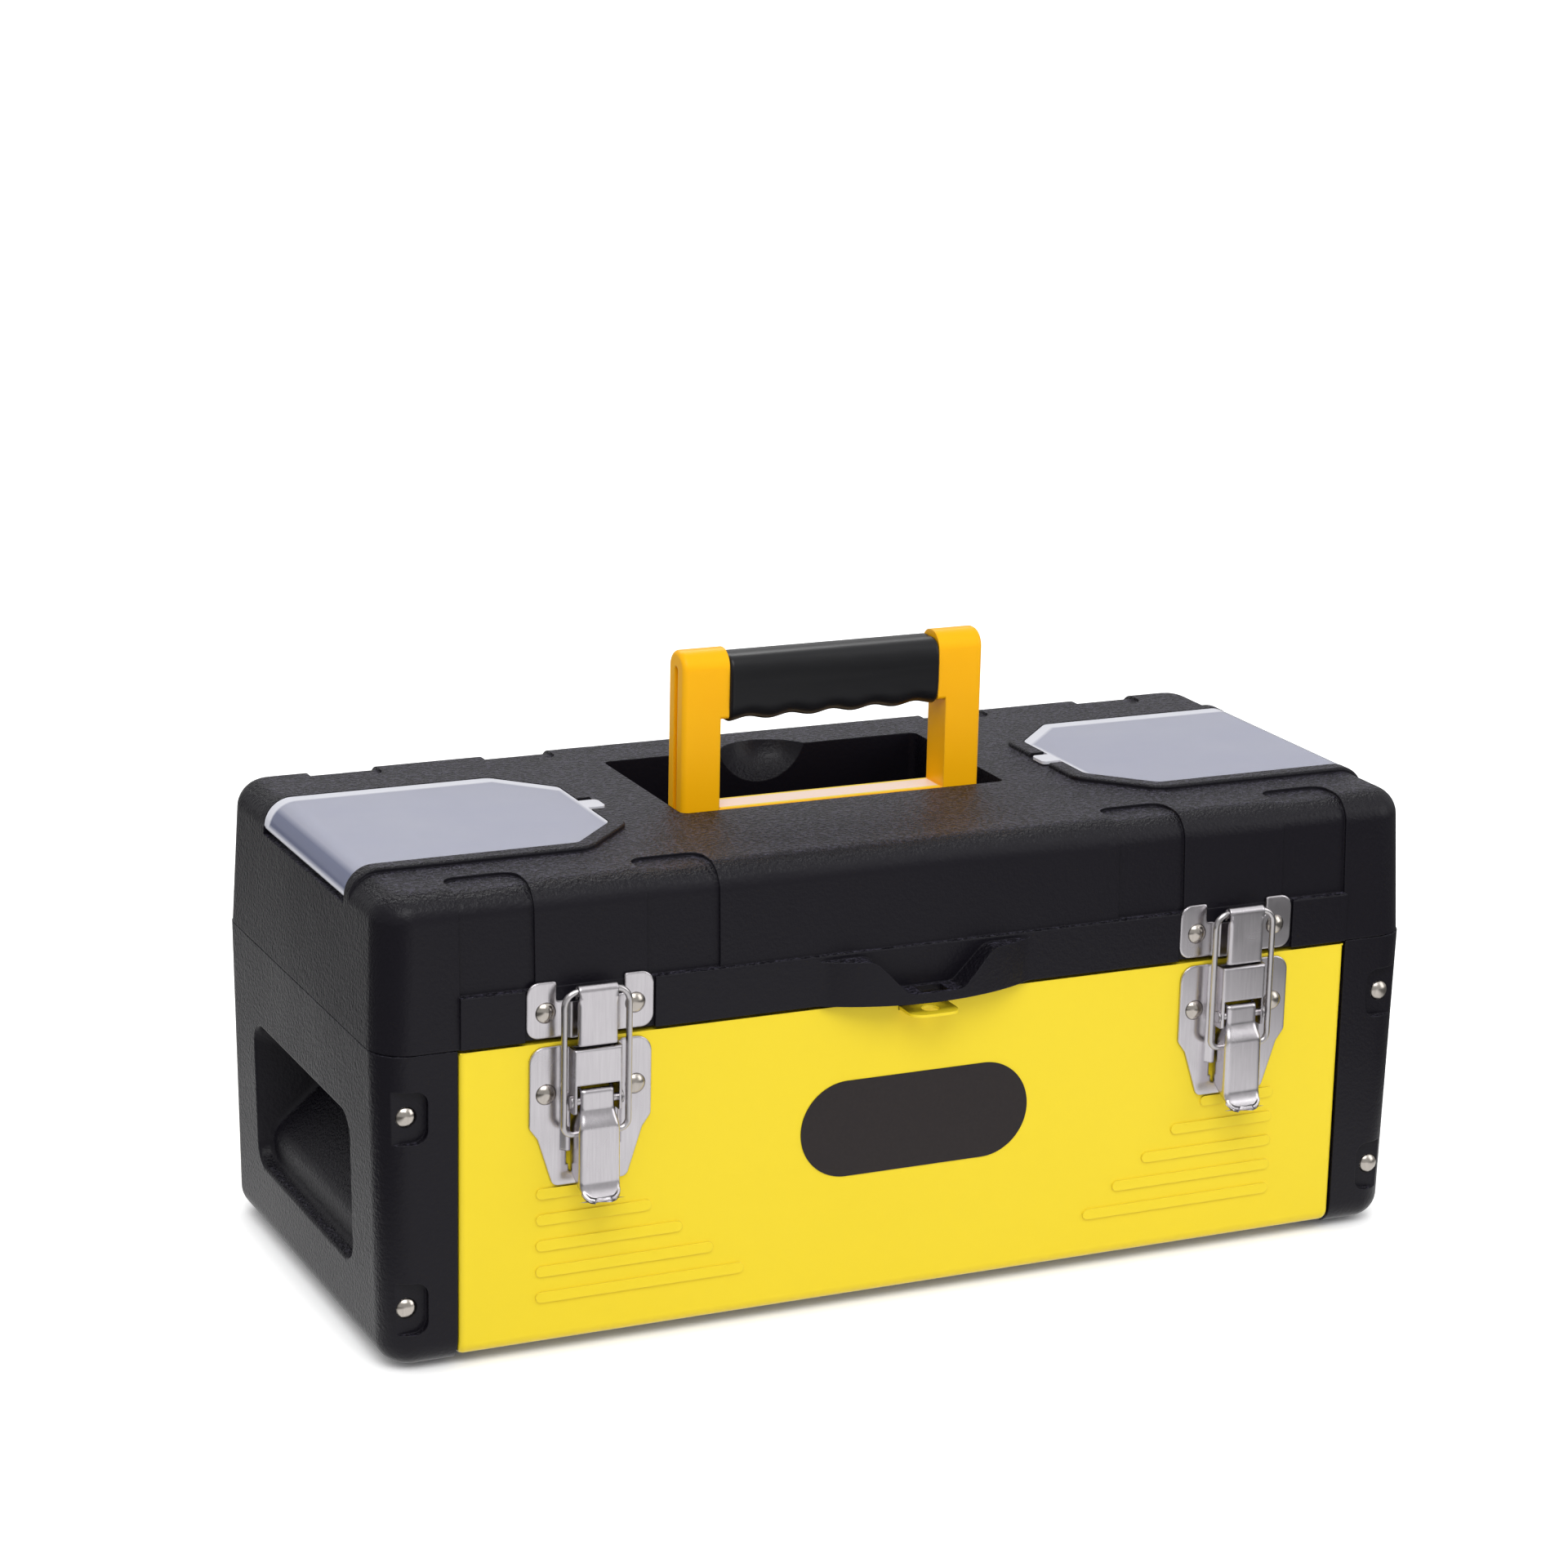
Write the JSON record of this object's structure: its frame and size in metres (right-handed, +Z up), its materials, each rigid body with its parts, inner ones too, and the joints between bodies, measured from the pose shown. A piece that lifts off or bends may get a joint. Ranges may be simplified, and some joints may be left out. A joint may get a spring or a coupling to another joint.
{
  "type": "tool box",
  "caption": "Portable tool box: painted steel wrap between moulded end caps, hinged lid with folding handle, clear organiser covers, draw latches and a lift-out tray.",
  "frame": {"origin": "under the middle of the overall box, on the plane that the feet stand on", "axes": "+X along the length to the right as seen from the latches, +Y to the hinged back, +Z up"},
  "size_m": [0.43, 0.2118, 0.2415],
  "materials": {
    "yellow_steel": "satin paint",
    "black_plastic": "fine grain",
    "latch_steel": "bright pressed",
    "zinc_steel": "drawn wire",
    "nickel_rivet": "warm nickel",
    "yellow_plastic": "moulded",
    "black_grip": "satin",
    "clear_plastic": "milky clear",
    "dark_label": "printed film",
    "cream_strip": "printed film",
    "tray_plastic": "moulded"
  },
  "bodies": {
    "body": {"steel_wrap": "yellow_steel", "eye_plate": "yellow_steel", "front_label": "dark_label", "end_cap_left": "black_plastic", "end_cap_right": "black_plastic", "cap_rivets": "nickel_rivet", "latch_base_left": "latch_steel", "latch_base_right": "latch_steel", "lever_pin_left": "zinc_steel", "lever_pin_right": "zinc_steel", "base_rivets": "nickel_rivet", "hinge_body_leaf_left": "latch_steel", "hinge_body_leaf_right": "latch_steel", "hinge_pin_left": "zinc_steel", "hinge_pin_right": "zinc_steel", "hinge_body_rivets": "nickel_rivet"},
    "lid": {"lid_shell": "black_plastic", "keeper_plate_left": "latch_steel", "keeper_plate_right": "latch_steel", "keeper_rivets": "nickel_rivet", "hinge_lid_leaf_left": "latch_steel", "hinge_lid_leaf_right": "latch_steel", "hinge_lid_rivets": "nickel_rivet", "handle_rod": "zinc_steel"},
    "handle": {"handle_frame": "yellow_plastic", "hand_grip": "black_grip", "handle_strip": "cream_strip"},
    "cover_left": {"organiser_cover_left": "clear_plastic"},
    "cover_right": {"organiser_cover_right": "clear_plastic"},
    "lever_left": {"latch_lever_left": "latch_steel"},
    "lever_right": {"latch_lever_right": "latch_steel"},
    "loop_left": {"wire_loop_left": "zinc_steel", "hook_strip_left": "latch_steel"},
    "loop_right": {"wire_loop_right": "zinc_steel", "hook_strip_right": "latch_steel"},
    "tray": {"lift_tray": "tray_plastic"}
  },
  "joints": [
    {"name": "lid_hinge", "type": "hinge", "parent": "body", "child": "lid", "pos_m": [0, 0.10265, 0.122], "axis": [-1, 0, 0], "range_deg": [0, 95]},
    {"name": "handle_fold", "type": "hinge", "parent": "lid", "child": "handle", "pos_m": [0, -0.00925, 0.173], "axis": [-1, 0, 0], "range_deg": [0, 90]},
    {"name": "cover_left_hinge", "type": "hinge", "parent": "lid", "child": "cover_left", "pos_m": [-0.2103, 0.00475, 0.1711], "axis": [0, -1, 0], "range_deg": [0, 100]},
    {"name": "cover_right_hinge", "type": "hinge", "parent": "lid", "child": "cover_right", "pos_m": [0.2103, 0.00475, 0.1711], "axis": [0, 1, 0], "range_deg": [0, 100]},
    {"name": "tray_lift", "type": "slide", "parent": "body", "child": "tray", "axis": [0, 0, 1], "range_m": [0, 0.02]},
    {"name": "lever_left_turn", "type": "hinge", "parent": "body", "child": "lever_left", "pos_m": [-0.1346, -0.09545, 0.0996], "axis": [-1, 0, 0], "range_deg": [0, 120]},
    {"name": "loop_left_swing", "type": "hinge", "parent": "lever_left", "child": "loop_left", "pos_m": [-0.1346, -0.09581, 0.0873], "axis": [1, 0, 0], "range_deg": [0, 150]},
    {"name": "lever_right_turn", "type": "hinge", "parent": "body", "child": "lever_right", "pos_m": [0.1346, -0.09545, 0.0996], "axis": [-1, 0, 0], "range_deg": [0, 120]},
    {"name": "loop_right_swing", "type": "hinge", "parent": "lever_right", "child": "loop_right", "pos_m": [0.1346, -0.09581, 0.0873], "axis": [1, 0, 0], "range_deg": [0, 150]}
  ],
  "couplings": [
    {"joint": "loop_left_swing", "follows": "lever_left_turn", "ratio": 1.25},
    {"joint": "loop_right_swing", "follows": "lever_right_turn", "ratio": 1.25}
  ]
}
